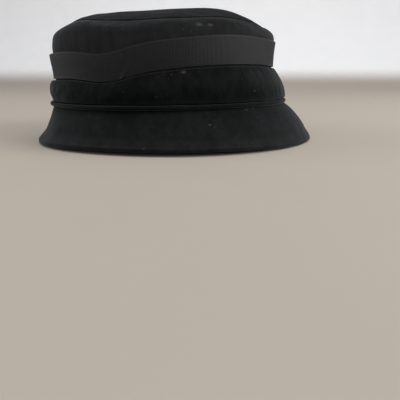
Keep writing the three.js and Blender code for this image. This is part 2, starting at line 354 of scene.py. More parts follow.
def swells(angle, along, seed, waves=14, finest=30.0, most_turns=16):
    """A gentle unevenness, mostly between -1 and 1, that closes on itself round the hat. finest is the
    shortest wave along it, in millimetres."""
    draw = np.random.default_rng(seed)
    total = 0
    weight = 0
    for _ in range(waves):
        count = int(draw.integers(0, most_turns + 1))
        slope = draw.uniform(-1, 1) * TURN / finest
        size = 1 / (1 + count) ** 0.35
        total = total + size * np.cos(count * angle + slope * along + draw.uniform(0, TURN))
        weight += size**2
    return total / math.sqrt(2 * weight)


def pucker(angle, radius, pitch, seed):
    """Small dips, one for each stitch of a seam at that radius, some deeper than others."""
    count = round(TURN * radius / pitch)
    drift = 0.9 * swells(angle, 0, seed, most_turns=24)
    depth = 0.65 + 0.35 * swells(angle, 0, seed + 1, most_turns=60)
    return np.cos(count * angle + drift) * depth


def perimeter(ring):
    """The length of a closed ring of points."""
    return float(np.linalg.norm(np.roll(ring, -1, 0) - ring, axis=-1).sum())


def finished(piece, material, slot, *nodes):
    """Gives a piece its material and its place in the frame."""
    piece.data.materials.append(material)
    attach(piece, "root")
    if nodes:
        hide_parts(*nodes)


# ---- materials ----

class Paint:
    """A procedural material as it is put together. Noise scales are in cycles per metre."""

    def __init__(self, name, roughness, sheen=0.0, sheen_roughness=0.5, specular=0.5, metallic=0.0):
        self.material = bpy.data.materials.new(name)
        self.material.use_nodes = True
        self.tree = self.material.node_tree
        self.shader = self.tree.nodes["Principled BSDF"]
        self.set("Roughness", roughness)
        self.set("Sheen Weight", sheen)
        self.set("Sheen Roughness", sheen_roughness)
        self.set("Specular IOR Level", specular)
        self.set("Metallic", metallic)
        self.normal = None
        self.place = self.node("ShaderNodeTexCoord").outputs["Object"]

    def set(self, socket, value):
        self.shader.inputs[socket].default_value = value

    def feed(self, value, socket):
        """Links an output to an input, or sets the input to a number or colour."""
        if isinstance(value, bpy.types.NodeSocket):
            self.tree.links.new(value, socket)
        else:
            socket.default_value = value

    def node(self, kind, inputs=None, **options):
        """A new node with those options, fed with those inputs."""
        made = self.tree.nodes.new(kind)
        for option, value in options.items():
            setattr(made, option, value)
        for socket, value in (inputs or {}).items():
            self.feed(value, made.inputs[socket])
        return made

    def math(self, operation, a, b=0.0):
        return self.node("ShaderNodeMath", {0: a, 1: b}, operation=operation).outputs[0]

    def times(self, a, b):
        return self.math("MULTIPLY", a, b)

    def noise(self, scale, detail=2.0, rough=0.5, stretch=None):
        place = self.place
        if stretch:
            place = self.node("ShaderNodeMapping", {"Vector": place, "Scale": stretch}).outputs[0]
        inputs = {"Vector": place, "Scale": scale, "Detail": detail, "Roughness": rough}
        return self.node("ShaderNodeTexNoise", inputs).outputs["Fac"]

    def attribute(self, name):
        return self.node("ShaderNodeAttribute", attribute_name=name).outputs["Fac"]

    def spread(self, value, low, high, to_low=0.0, to_high=1.0):
        """A value between low and high, as one between to_low and to_high."""
        inputs = {0: value, 1: low, 2: high, 3: to_low, 4: to_high}
        return self.node("ShaderNodeMapRange", inputs, interpolation_type="SMOOTHSTEP").outputs[0]

    def mix(self, share, a, b):
        return self.node("ShaderNodeMix", {0: share, 6: a, 7: b}, data_type="RGBA").outputs[2]

    def bump(self, height, depth, strength=1.0):
        """Adds a relief of that depth in millimetres."""
        inputs = {"Height": height, "Distance": depth * MM, "Strength": strength}
        if self.normal:
            inputs["Normal"] = self.normal
        self.normal = self.node("ShaderNodeBump", inputs).outputs[0]

    def done(self, colour, roughness=None):
        self.feed(colour, self.shader.inputs["Base Color"])
        if roughness:
            self.feed(roughness, self.shader.inputs["Roughness"])
        if self.normal:
            self.feed(self.normal, self.shader.inputs["Normal"])
        return self.material


# Bits of lint on the crown, the cuff and the brim: angle in degrees, height, and size.
LINT = (
    (-70.7, 90.2, 2.0), (-65.6, 89.7, 1.7), (-78, 58.2, 1.6), (-47, 44.5, 0.9),
    (-52, 30.5, 1.1), (-48, 31.1, 0.8), (-70, 21.3, 1.0), (38, 94.0, 1.4),
    (122, 88.0, 1.0), (175, 52.0, 1.3), (-160, 26.0, 1.0), (70, 30.0, 1.2),
)
LINT_FLATTENING = (1.0, 1.0, 1.8)  # the bits are wider than they are high
LINT_COLOUR = (0.10, 0.10, 0.098, 1)
DUST_COLOUR = (0.05, 0.055, 0.055, 1)
# Paler pile: for wear, and for painted light.
RUBBED_AND_PAINTED_LIGHT_PILE = (0.018, 0.0185, 0.019, 1)
DEEP_PILE = (0.0005, 0.0006, 0.0006, 1)


def lint_mask(paint):
    """How far a place is covered by a bit of lint."""
    inputs = {0: paint.place, 1: LINT_FLATTENING}
    flattened = paint.node("ShaderNodeVectorMath", inputs, operation="MULTIPLY").outputs["Vector"]
    covered = 0.0
    for degrees, height, size in LINT:
        inputs = {0: flattened, 1: lint_place(math.radians(degrees), height) * LINT_FLATTENING * MM}
        apart = paint.node("ShaderNodeVectorMath", inputs, operation="DISTANCE")
        near = paint.spread(apart.outputs["Value"], 0.2 * size * MM, 1.8 * size * MM, 1.0, 0.0)
        covered = paint.math("MAXIMUM", covered, near)
    return covered


def lint_place(angle, height):
    """The outer surface at that angle and height: the crown, the cuff or the brim."""
    at = np.array([[angle]])
    line, lift = brim_line(at), BRIM_HALF
    if height > band_height(angle):
        line, lift = SHOULDER_LINE, 0
    elif height > HEADLINE:
        line, lift = cuff_lines(at, 0)[0], 0
    run = lifted(line, row(200), lift)[0]
    return on_hat(run[np.argmin(np.abs(run[:, 1] - height))], angle)


def velvet(name, dark, light, sheen):
    """Black silk velvet. Its pile leans this way and that, wears paler along ridges, is painted paler
    where light is painted on, and holds a little dust and lint."""
    paint = Paint(name, 0.9, sheen=sheen, sheen_roughness=0.34, specular=0.04)
    paint.set("Sheen Tint", (0.86, 0.93, 1.0, 1.0))
    nap = paint.noise(38, detail=3, rough=0.55)
    streak = paint.noise(160, detail=2, rough=0.6, stretch=(1.0, 1.0, 0.35))
    pile = paint.noise(2100, detail=3, rough=0.7)
    lean = paint.math("ADD", paint.times(nap, 0.6), paint.times(streak, 0.4))
    colour = paint.mix(paint.spread(lean, 0.36, 0.64), dark, light)
    colour = paint.mix(paint.spread(pile, 0.3, 0.75, 0.0, 0.55), colour, DEEP_PILE)
    # Painted light and wear: the pile is mixed paler where it wears and where light is painted on.
    worn = paint.times(paint.attribute("worn"), paint.spread(streak, 0.3, 0.7, 0.7, 1.0))
    colour = paint.mix(worn, colour, RUBBED_AND_PAINTED_LIGHT_PILE)
    specks = paint.spread(paint.noise(700, detail=1), 0.68, 0.78)
    dust = paint.times(specks, paint.spread(nap, 0.4, 0.6))
    colour = paint.mix(paint.times(dust, 0.5), colour, DUST_COLOUR)
    fibres = paint.times(lint_mask(paint), paint.spread(pile, 0.3, 0.6, 0.2, 0.6))
    colour = paint.mix(paint.times(fibres, 0.6), colour, LINT_COLOUR)
    paint.bump(paint.noise(420, detail=2), 0.25, 0.5)
    paint.bump(pile, 0.22, 0.8)
    return paint.done(colour, paint.spread(lean, 0.35, 0.65, 0.97, 0.82))


# Painted shade for the grooves between the ribs, and a paler colour for fading and painted light.
PAINTED_GROOVE_SHADE = (0.003, 0.003, 0.0035, 1)
RIB_THREAD = (0.030, 0.029, 0.032, 1)
FADED_AND_PAINTED_LIGHT_RIBBON = (0.034, 0.033, 0.036, 1)


def grosgrain(name, dark, light, sheen):
    """Ribbed ribbon. The ribs are in the mesh, which also says where their crests are; the grooves between
    them and the ribbon's lower part are painted darker as shade.
    """
    paint = Paint(name, 0.5, sheen=sheen, sheen_roughness=0.35, specular=0.15)
    paint.set("Sheen Tint", (0.97, 0.93, 1.0, 1.0))
    rib_painted_light = paint.attribute("rib")
    shade = paint.noise(30, detail=3, rough=0.5)
    thread = paint.noise(900, detail=2, rough=0.6, stretch=(1.0, 1.0, 3.0))
    colour = paint.mix(paint.spread(shade, 0.35, 0.65), dark, light)
    colour = paint.mix(paint.spread(rib_painted_light, 0.0, 0.9, 0.45, 0.0), colour, PAINTED_GROOVE_SHADE)
    colour = paint.mix(paint.spread(thread, 0.35, 0.75, 0.0, 0.25), colour, RIB_THREAD)
    colour = paint.mix(paint.times(paint.attribute("worn"), 0.6), colour, FADED_AND_PAINTED_LIGHT_RIBBON)
    paint.bump(thread, 0.06, 0.7)
    return paint.done(colour, paint.spread(thread, 0.3, 0.7, 0.56, 0.44))


def satin():
    """Black lining satin, with the fine grain of its floats."""
    paint = Paint("lining_satin", 0.32, sheen=0.08, specular=0.55)
    grain = paint.noise(1500, detail=2, rough=0.6, stretch=(1.0, 1.0, 0.15))
    cloud = paint.noise(25, detail=2)
    colour = paint.mix(paint.spread(cloud, 0.3, 0.7), (0.010, 0.010, 0.011, 1), (0.019, 0.019, 0.021, 1))
    colour = paint.mix(paint.spread(grain, 0.4, 0.7, 0.0, 0.4), colour, (0.035, 0.035, 0.038, 1))
    paint.bump(grain, 0.05, 0.6)
    return paint.done(colour, paint.spread(grain, 0.3, 0.7, 0.28, 0.45))


BANDS_PER_METRE = 3.18  # of a wave texture whose scale is 1


def woven(name, colour, shadow, pitch, depth):
    """Plain weave of coarse threads that far apart in millimetres, such as buckram."""
    paint = Paint(name, 0.85, sheen=0.05)
    weave = 0.0
    for direction in ("X", "Y", "Z"):
        inputs = {"Vector": paint.place, "Scale": 1 / (pitch * MM) / BANDS_PER_METRE, "Distortion": 0.6}
        wave = paint.node("ShaderNodeTexWave", inputs, bands_direction=direction)
        weave = paint.math("MAXIMUM", weave, wave.outputs["Fac"])
    slub = paint.noise(240, detail=3)
    tone = paint.mix(paint.spread(weave, 0.55, 0.95), shadow, colour)
    tone = paint.mix(paint.spread(slub, 0.35, 0.7, 0.0, 0.35), tone, shadow)
    paint.bump(weave, depth, 0.8)
    return paint.done(tone, paint.spread(slub, 0.3, 0.7, 0.78, 0.92))


def fluffy(name, colour, shadow):
    """Cotton flannel or wadding, matted and uneven."""
    paint = Paint(name, 0.95, sheen=0.2)
    matted = paint.noise(300, detail=4, rough=0.65)
    fibre = paint.noise(1700, detail=3, rough=0.7)
    tone = paint.mix(paint.spread(matted, 0.35, 0.65), shadow, colour)
    tone = paint.mix(paint.spread(fibre, 0.35, 0.7, 0.0, 0.3), tone, shadow)
    paint.bump(matted, 0.5, 0.8)
    paint.bump(fibre, 0.2, 0.6)
    return paint.done(tone, paint.spread(fibre, 0.3, 0.7, 0.9, 1.0))


def steel():
    """Millinery wire, drawn and slightly scratched along its length."""
    paint = Paint("wire_steel", 0.38, metallic=1.0)
    scratch = paint.noise(900, detail=3, rough=0.6, stretch=(0.3, 0.3, 1.0))
    tarnish = paint.noise(90, detail=2)
    tone = paint.mix(paint.spread(tarnish, 0.4, 0.7), (0.33, 0.33, 0.34, 1), (0.20, 0.19, 0.18, 1))
    paint.bump(scratch, 0.03, 0.5)
    return paint.done(tone, paint.spread(scratch, 0.3, 0.7, 0.3, 0.5))


def thread_paint():
    """Black sewing thread, twisted."""
    paint = Paint("thread", 0.55, sheen=0.2)
    twist = paint.noise(3000, detail=1)
    tone = paint.mix(paint.spread(twist, 0.35, 0.65), (0.006, 0.006, 0.007, 1), (0.03, 0.03, 0.032, 1))
    paint.bump(twist, 0.04, 0.6)
    return paint.done(tone, paint.spread(twist, 0.3, 0.7, 0.45, 0.65))


# Painted light: the four velvet paints are one velvet in lit and shaded copies, darker or paler and with
# less or more sheen where the light falls differently on the tip, the side, the cuff and the brim.
TIP_PAINT = velvet("tip_velvet", (0.0048, 0.0050, 0.0052, 1), (0.0088, 0.0092, 0.0096, 1), 0.033)
SIDE_PAINT = velvet("side_velvet", (0.0036, 0.0038, 0.0040, 1), (0.0066, 0.0070, 0.0074, 1), 0.105)
CUFF_PAINT = velvet("cuff_velvet", (0.0022, 0.0025, 0.0026, 1), (0.0044, 0.0049, 0.0051, 1), 0.155)
BRIM_PAINT = velvet("brim_velvet", (0.0030, 0.0034, 0.0036, 1), (0.0056, 0.0062, 0.0066, 1), 0.15)
BAND_PAINT = grosgrain("hatband_grosgrain", (0.0023, 0.0021, 0.0030, 1), (0.0044, 0.0041, 0.0053, 1), 0.078)
SWEAT_PAINT = grosgrain("sweatband_grosgrain", (0.018, 0.018, 0.019, 1), (0.030, 0.029, 0.031, 1), 0.08)
SATIN_PAINT = satin()
BUCKRAM_PAINT = woven("buckram_weave", (0.62, 0.57, 0.46, 1), (0.30, 0.27, 0.21, 1), 1.3, 0.35)
MULL_PAINT = fluffy("mull_flannel", (0.70, 0.67, 0.59, 1), (0.52, 0.49, 0.42, 1))
COTTON_PAINT = fluffy("cotton_filling", (0.78, 0.76, 0.70, 1), (0.62, 0.59, 0.53, 1))
WIRE_PAINT = steel()
THREAD_PAINT = thread_paint()


# ---- the crown ----

SEAM_SINK = 0.55
SEAM_TUCK = 0.12
SEAM_SPREAD = 0.85
STITCH_PITCH = 3.4


def seam_roll(apart):
    """How velvet rolls down into a seam and stands up beside it."""
    return 0.10 * bell(apart - 3.0, 2.4) - SEAM_SINK * bell(apart, SEAM_SPREAD)


def seam_tuck(apart):
    return SEAM_TUCK * bell(apart, SEAM_SPREAD)


def seam_stitches(angle, apart):
    """The dips that the stitches draw in beside the crown's seam."""
    return 0.12 * pucker(angle, TIP_RADIUS, STITCH_PITCH, 13) * bell(apart - 1.6, 1.5)


def seam_wear(angle, apart, most, seed):
    """How the pile wears paler beside the seam, here more and there less."""
    return most * bell(apart - 2.6, 1.6) * (0.6 + 0.4 * swells(angle, 0, seed))


def tip_shares(count):
    """Shares of the tip's line, closer together towards the seam."""
    return 1 - (1 - row(count)) ** 1.7


def crown_tip_velvet():
    angle = turns(480)
    share = tip_shares(84)
    apart = (1 - share) * TIP_RUN
    soft = 0.55 * swells(angle, apart, 11, finest=46, most_turns=7)
    soft = soft * smooth(share / 0.35) * smooth(apart / 8)
    eased = 0.30 * swells(angle, apart, 12, waves=18, finest=26, most_turns=44) * bell(apart - 7, 7)
    lift = soft + eased + seam_stitches(angle, apart) + seam_roll(apart)
    outer = on_hat(lifted(TIP_LINE, share, lift), angle)
    inner = on_hat(lifted(TIP_LINE, share, -VELVET - seam_tuck(apart)), angle)
    worn = seam_wear(angle, apart, 0.12, 14)
    piece = layer("crown_tip_velvet_cloth", outer, inner, closed=False, worn=worn)
    finished(piece, TIP_PAINT, "velvet", "crown_tip_velvet")


def wall_section(shares, heights, lift):
    """The shoulder and the wall below it, lifted off the velvet's face."""
    place, out = bezier(SHOULDER_LINE, shares)
    wall = pair(CROWN_RADIUS, heights)
    place = np.concatenate([place, wall], 1)
    out = np.concatenate([out, np.broadcast_to([1.0, 0.0], wall.shape)], 1)
    return place + out * np.asarray(lift, float)[..., None]


def wall_run(shares, heights):
    """How far each point of a wall section lies from the crown's seam, and its height."""
    apart = np.concatenate([shares * SHOULDER_RUN, SHOULDER_RUN + SHOULDER_HEIGHT - heights], 1)
    height = np.concatenate([SEAM_HEIGHT - shares * (SEAM_HEIGHT - SHOULDER_HEIGHT), heights], 1)
    return apart, height


WALL_STEP = 0.8
PLAIN_BELOW = 60.0  # from here down the hatband and the cuff hide the crown's side


def crown_side_velvet():
    angle = turns(640)
    shares = row(34) ** 1.25
    seen = np.arange(SHOULDER_HEIGHT - WALL_STEP, PLAIN_BELOW, -WALL_STEP)
    heights = np.concatenate([seen, np.linspace(PLAIN_BELOW - 1, CROWN_FOOT, 9)])[None, :]
    apart, height = wall_run(shares, heights)
    free = smooth((height - band_height(angle) - BAND_WIDTH / 2 - 0.5) / 4)
    soft = 0.38 * swells(angle, apart, 21, finest=34, most_turns=13) * smooth(apart / 5)
    eased = 0.13 * swells(angle, apart, 22, waves=22, finest=19, most_turns=56) * bell(apart - 7, 6)
    across = (angle - math.pi) * CROWN_RADIUS  # from the back seam
    joined = -0.75 * bell(across, 1.0) + 0.3 * bell(np.abs(across) - 2.4, 1.8)
    uneven = (soft + eased + seam_stitches(angle, apart) + joined) * free
    lift = np.maximum(uneven, -0.85) + seam_roll(apart)
    outer = on_hat(wall_section(shares, heights, lift), angle)
    inner = on_hat(wall_section(shares, heights, -VELVET - seam_tuck(apart)), angle)
    # Painted light: the wall is painted paler the further it lies below the seam; beside the seams the pile
    # wears paler.
    painted_light_paling = 0.95 * smooth((apart - 3) / 15)
    beside_seam = 0.2 * bell(np.abs(across) - 2.2, 1.2)
    worn = painted_light_paling + (seam_wear(angle, apart, 0.10, 24) + beside_seam) * free
    piece = layer("crown_side_velvet_cloth", outer, inner, worn=worn)
    finished(piece, SIDE_PAINT, "velvet", "crown_side_velvet")


def crown_layer(name, depth, thick, foot, material, slot, node):
    """A layer of the foundation: the whole crown, blocked in one piece."""
    angle = turns(160)
    shares = row(10)[:, 1:]
    heights = np.linspace(SHOULDER_HEIGHT, foot, 20)[None, 1:]

    def face(lift):
        tip = lifted(TIP_LINE, tip_shares(30), lift)
        side = wall_section(shares, heights, lift)
        return on_hat(np.concatenate([tip, side], 1), angle)

    piece = layer(name, face(-depth), face(-depth - thick), closed=False)
    finished(piece, material, slot, node)


def crown_mull():
    crown_layer("crown_mull_layer", MULL_DEPTH, MULL, CROWN_FOOT, MULL_PAINT, "cotton", "crown_mull")


def crown_buckram():
    foot = HEADLINE + WIRE + 2 * CLEARANCE
    crown_layer(
        "crown_buckram_layer", BUCKRAM_DEPTH, BUCKRAM, foot, BUCKRAM_PAINT, "buckram", "crown_buckram"
    )


def lining_tip():
    angle = turns(300)
    share = tip_shares(50)
    apart = (1 - share) * TIP_RUN
    slack = 0.7 * (1 + swells(angle, apart, 31, finest=60, most_turns=6)) * smooth(share / 0.4)
    gathers = 0.35 * (1 + swells(angle, 0, 32, waves=20, most_turns=60)) * bell(apart - 3, 9)
    lift = -LINING_DEPTH - (slack + gathers) * smooth(apart / 3)
    outer = on_hat(lifted(TIP_LINE, share, lift), angle)
    inner = on_hat(lifted(TIP_LINE, share, lift - LINING), angle)
    piece = layer("lining_tip_satin", outer, inner, closed=False)
    finished(piece, SATIN_PAINT, "satin", "lining_tip")


def lining_side():
    angle = turns(480)
    shares = row(14)
    heights = np.linspace(SHOULDER_HEIGHT, SWEATBAND_FOOT, 44)[None, 1:]
    apart, height = wall_run(shares, heights)
    free = smooth((height - SWEATBAND_FOOT - SWEATBAND_WIDTH - 1) / 9) * smooth(apart / 3)
    folds = 0.55 * (1 + swells(angle, apart, 33, waves=20, finest=70, most_turns=38))
    joined = 0.5 * bell((angle - math.pi) * CROWN_RADIUS - 2.0, 1.6)
    lift = -LINING_DEPTH - (folds + joined) * free
    outer = on_hat(wall_section(shares, heights, lift), angle)
    inner = on_hat(wall_section(shares, heights, lift - LINING), angle)
    piece = layer("lining_side_satin", outer, inner)
    finished(piece, SATIN_PAINT, "satin", "lining_side")


# ---- ribbons ----

RIB_PITCH = 1.05
RIB_STEPS = 5  # points for each rib
RIB_RELIEF = 0.07
SELVAGE = 0.8
SELVAGE_RELIEF = (0.10, 0.02)  # at the upper and the lower edge
HEM = np.array([0, 0.25, 0.7, 1.2])  # where the points lie beside an edge
HEM_END = 1.9
LAP_LIFT = 1.05  # how far the upper end rides over the lower one, in thicknesses of ribbon


def ribbon(name, radius, top, width, lift, end_at, lap):
    """A ribbed ribbon on edge round the hat, with its outer face outwards or, where radius is negative,
    inwards. lift moves a point out from that radius. One end laps over the other up to end_at."""
    side = np.sign(radius)
    radius = abs(radius)
    ribs = round(TURN * radius / RIB_PITCH)
    angle = turns(ribs * RIB_STEPS)
    down = np.concatenate([HEM, np.linspace(HEM_END, width - HEM_END, 8), width - HEM[::-1]])[None, :]
    height = top(angle) - down
    rib = np.cos(ribs * angle)
    upper_edge = bell(down, SELVAGE)
    lower_edge = bell(width - down, SELVAGE)
    behind = np.mod(end_at - angle, TURN) * radius
    lapped = smooth(behind / 0.5) * smooth((lap + 6 - behind) / 6)
    out = lift(angle, down)
    raised = SELVAGE_RELIEF[0] * upper_edge + SELVAGE_RELIEF[1] * lower_edge
    relief = RIB_RELIEF * rib * (1 - (upper_edge + lower_edge)) + raised + LAP_LIFT * RIBBON * lapped
    face = on_hat(pair(radius + side * (out + RIBBON + relief), height), angle)
    back = on_hat(pair(radius + side * out, height), angle)
    # Painted shade: the grooves and the lower part of the ribbon are painted darker, the top selvage not.
    # The top edge is painted paler, partly fading and partly a painted highlight, and the ribbon is painted
    # darker towards its lower edge.
    rib_painted_light = 0.5 + 0.5 * rib + upper_edge - 0.5 * down / width
    fade_and_painted_shade = bell(down, 0.7) + 0.25 * (1 - down / width)
    return layer(name, face, back, rib=rib_painted_light, worn=fade_and_painted_shade), perimeter(face[:, down.size // 2])


BAND_END = math.radians(100)  # on the wearer's left, away from the photograph
BAND_LAP = 11.0
PLEAT_PLACE = math.radians(-104)
PLEAT_LEAN = 0.9  # how far along the ribbon it moves for each millimetre up
PLEAT_START = 9.0  # below the ribbon's upper edge
BAND_FLARE = 1.5
FLARE_DEPTH = 17.0


def band_lift(angle, down):
    """The hatband stands off the crown here and there, has a small pleat and flares at the back."""
    easy = 0.25 + 0.25 * (1 + swells(angle, down, 41, finest=60, most_turns=14))
    across = (angle - PLEAT_PLACE + TURN) * CROWN_RADIUS % (TURN * CROWN_RADIUS)
    across = np.where(across > math.pi * CROWN_RADIUS, across - TURN * CROWN_RADIUS, across)
    along = across - PLEAT_LEAN * (BAND_WIDTH - down)
    pleat = bell(along, 1.6) * smooth((down - PLEAT_START) / 9)
    beside = bell(along - 3.2, 1.3) * smooth((down - PLEAT_START) / 9)
    flare = BAND_FLARE * backness(angle) * smooth(1 - down / FLARE_DEPTH)
    return easy + 0.6 * pleat - 0.25 * beside * easy + flare


def hatband():
    piece, length = ribbon(
        "hatband_grosgrain", BAND_IN, band_top, BAND_WIDTH, band_lift, BAND_END, BAND_LAP
    )
    finished(piece, BAND_PAINT, "grosgrain", "hatband_ribbon")


SWEATBAND_END = math.radians(180)
SWEATBAND_LAP = 9.0
SWEATBAND_FACE = CROWN_RADIUS - SWEATBAND_DEPTH


def sweatband_lift(angle, down):
    """The sweatband is sewn along its lower edge and eases away from the lining above that."""
    loose = 0.5 * (1 + swells(angle, down, 42, finest=80, most_turns=9))
    return 1.1 * loose * smooth((SWEATBAND_WIDTH - 4 - down) / 18)


def sweatband():
    top = SWEATBAND_FOOT + SWEATBAND_WIDTH
    lift, end_at = sweatband_lift, SWEATBAND_END
    piece, length = ribbon(
        "sweatband_ribbon", -SWEATBAND_FACE, lambda angle: top, SWEATBAND_WIDTH, lift, end_at, SWEATBAND_LAP
    )
    finished(piece, SWEAT_PAINT, "grosgrain", "sweatband")


# ---- the cuff ----

CLOTH_SCALE = 0.01  # units to a millimetre as the cloth settles, a size that suits the solver
CLOTH_FRAMES = 22


def settled(grid, pinned):
    """Where a sheet over that grid settles as cloth under a light pressure, with its pinned columns held.
    It is cut a little too large, so that it buckles into soft folds."""
    sheet = loft("cloth_trial", grid * CLOTH_SCALE / MM, closed=False)
    held = sheet.vertex_groups.new(name="held")
    index = np.arange(grid[..., 0].size).reshape(grid.shape[:2])
    held.add(index[:, pinned].ravel().tolist(), 1.0, "REPLACE")
    cloth = sheet.modifiers.new("cloth", "CLOTH")
    settings = cloth.settings
    settings.quality = 6
    settings.mass = 0.2
    settings.tension_stiffness = 12
    settings.compression_stiffness = 12
    settings.shear_stiffness = 4
    settings.bending_stiffness = 0.35
    settings.air_damping = 2
    settings.vertex_group_mass = "held"
    settings.shrink_min = -0.03
    settings.use_pressure = True
    settings.uniform_pressure_force = 1.0
    settings.effector_weights.gravity = 0
    cloth.collision_settings.use_collision = False
    cloth.point_cache.frame_end = CLOTH_FRAMES
    scene = bpy.context.scene
    for now in range(1, CLOTH_FRAMES + 1):
        scene.frame_set(now)
    at_rest = sheet.evaluated_get(bpy.context.evaluated_depsgraph_get())
    points = np.empty(len(at_rest.data.vertices) * 3)
    at_rest.data.vertices.foreach_get("co", points)
    bpy.data.objects.remove(sheet)
    scene.frame_set(1)
    return points.reshape(grid.shape) / CLOTH_SCALE


def normals_of(grid):
    """Outward unit normals of a grid that runs round the hat and down it."""
    round_hat = np.roll(grid, -1, 0) - np.roll(grid, 1, 0)
    return unit(np.cross(np.gradient(grid, axis=1), round_hat))


def softened(grid, passes):
    """The grid with the corners of its closed rows rounded off."""
    for _ in range(passes):
        grid = grid / 2 + (np.roll(grid, 1, 1) + np.roll(grid, -1, 1)) / 4
    return grid


CUFF_FACE = 34  # points down the face, along the base and up the wall
CUFF_BASE = 9
CUFF_WALL = 20
CUFF_RISE = 0.8  # how far a fold may stand out
CUFF_SINK = 0.4  # and how far the cloth may fall in
CUFF_SLANT = 0.22  # how uneven the cloth is before it settles
FOLD_SHARE = 0.42  # how much of the settled folds is kept
SLANT_SHARE = 0.2


def cuff_outline(angle, depth):
    """The closed outline of the cuff, or of a layer that deep inside it."""
    face, heel, top = cuff_lines(angle, depth)
    down = lifted(face, row(CUFF_FACE), 0)
    inward = row(CUFF_BASE)[:, 1:, None]
    upward = row(CUFF_WALL)[:, 1:-1, None]
    toe = down[:, -1:]
    return np.concatenate([down, toe + (heel - toe) * inward, heel + (top - heel) * upward], 1)


def cuff_velvet():
    angle = turns(600)
    outline = on_hat(softened(cuff_outline(angle, 0), 6), angle)
    inside = on_hat(softened(cuff_outline(angle, CUFF_VELVET), 6), angle)
    face = outline[:, :CUFF_FACE]
    out = normals_of(face)
    down = row(CUFF_FACE)
    free = smooth(down / 0.16) * smooth((1 - down) / 0.14)
    slant = swells(angle + 0.35 * down, down * 30, 51, waves=22, finest=26, most_turns=34)
    start = face + out * (CUFF_SLANT * slant * free)[..., None]
    moved = start
    moved = settled(start, [0, 1, CUFF_FACE - 2, CUFF_FACE - 1])
    rise = np.sum((moved - face) * out, -1)
    rise = rise - np.median(rise)
    rise = np.clip(FOLD_SHARE * rise + SLANT_SHARE * slant, -CUFF_SINK, CUFF_RISE) * free
    cloth = outline.copy()
    cloth[:, :CUFF_FACE] = face + out * rise[..., None]
    worn = np.zeros(outline.shape[:2])
    worn[:, :CUFF_FACE] = 0.3 * np.clip(rise, 0, 1) + 0.25 * bell(down - 0.97, 0.04)
    piece = layer("cuff_velvet_fold", cloth, inside, worn=worn)
    finished(piece, CUFF_PAINT, "velvet", "cuff_velvet")


def cuff_wadding():
    angle = turns(300)
    outline = softened(cuff_outline(angle, CUFF_VELVET + 2 * CLEARANCE), 8)
    lumps = 0.12 * (swells(angle, np.arange(outline.shape[1])[None, :], 53, finest=14) - 1.2)
    grid = on_hat(outline, angle)
    away = unit(grid - grid.mean(1, keepdims=True))
    piece = loft("cuff_wadding_roll", grid + away * lumps[..., None])
    finished(piece, COTTON_PAINT, "cotton", "cuff_wadding")


# ---- piping, cords and wires ----

def tube(name, centre, radius, sides, count):
    """A ring of round section. centre and radius may change round the hat."""
    angle = turns(count)
    turn = np.linspace(0, TURN, sides, endpoint=False)[None, :]
    return loft(name, on_hat(centre(angle) + spokes(turn) * radius(angle, turn)[..., None], angle))


PIPING_JOIN = math.radians(163)  # where the bias strip's ends are joined


def piping_cover():
    angle = turns(900)
    half = PIPING / 2
    turn = np.linspace(math.pi - PIPING_GAPE, PIPING_GAPE - math.pi, 26)[None, :]
    gathers = 0.07 * pucker(angle + 0.006 * turn, CROWN_RADIUS, 3.0, 61)
    gathers = gathers + 0.10 * swells(angle, turn * half, 62)
    joined = -0.28 * bell((angle - PIPING_JOIN) * CROWN_RADIUS + 1.1 * half * turn, 0.7)
    centre = piping_centre(angle)
    outer = on_hat(centre + spokes(turn) * (half + gathers + joined)[..., None], angle)
    inner = on_hat(centre + spokes(turn) * (half - PIPING_COVER), angle)
    piece = layer("piping_cover_velvet", outer, inner, worn=0.12 * bell(turn + 0.2, 0.8))
    finished(piece, CUFF_PAINT, "velvet", "piping_cover")


CORD_TWISTS = 130


def piping_cord():
    """Cotton cord of three strands."""
    half = PIPING / 2 - PIPING_COVER - CLEARANCE

    def strands(angle, turn):
        return half * (0.82 + 0.18 * np.abs(np.cos(1.5 * turn + CORD_TWISTS * angle)))

    piece = tube("piping_cord_strands", piping_centre, strands, 14, 1300)
    finished(piece, COTTON_PAINT, "cotton", "piping_cord")


def wire(name, centre, node):
    ring = tube(name, centre, lambda angle, turn: WIRE / 2 + 0 * turn, 14, 360)
    finished(ring, WIRE_PAINT, "wire", node)


def head_size_wire():
    place = pair(CROWN_RADIUS - BUCKRAM_DEPTH - BUCKRAM / 2, HEADLINE + CLEARANCE + WIRE / 2)
    wire("head_size_wire_ring", lambda angle: place, "head_size_wire")


def brim_edge_wire():
    wire("brim_edge_wire_ring", lambda angle: lifted(brim_line(angle), 1.0, 0.0), "brim_edge_wire")


# ---- the brim ----

BRIM_RUN = 52.0  # about, from the headline to the edge at the front
BRIM_SHARES = np.concatenate([np.linspace(0, 0.4, 12), np.linspace(0.4, 1, 44)[1:]])[None, :]


def brim_face(angle, radius, lift):
    """A face of the upper velvet: over the brim, round the wire and back under it."""
    line = brim_line(angle)
    over = lifted(line, BRIM_SHARES, radius + lift)
    centre, normal = bezier(line, 1.0)
    start = np.arctan2(normal[..., 1], normal[..., 0])
    turn = start - np.linspace(0, math.pi, 18)[None, 1:-1]
    under = lifted(line, np.linspace(1, EDGE_TURN_UNDER, 10)[None, :], -radius)
    section = np.concatenate([over, centre + spokes(turn) * radius, under], 1)
    section[..., 1] = np.maximum(section[..., 1], 0)
    return section


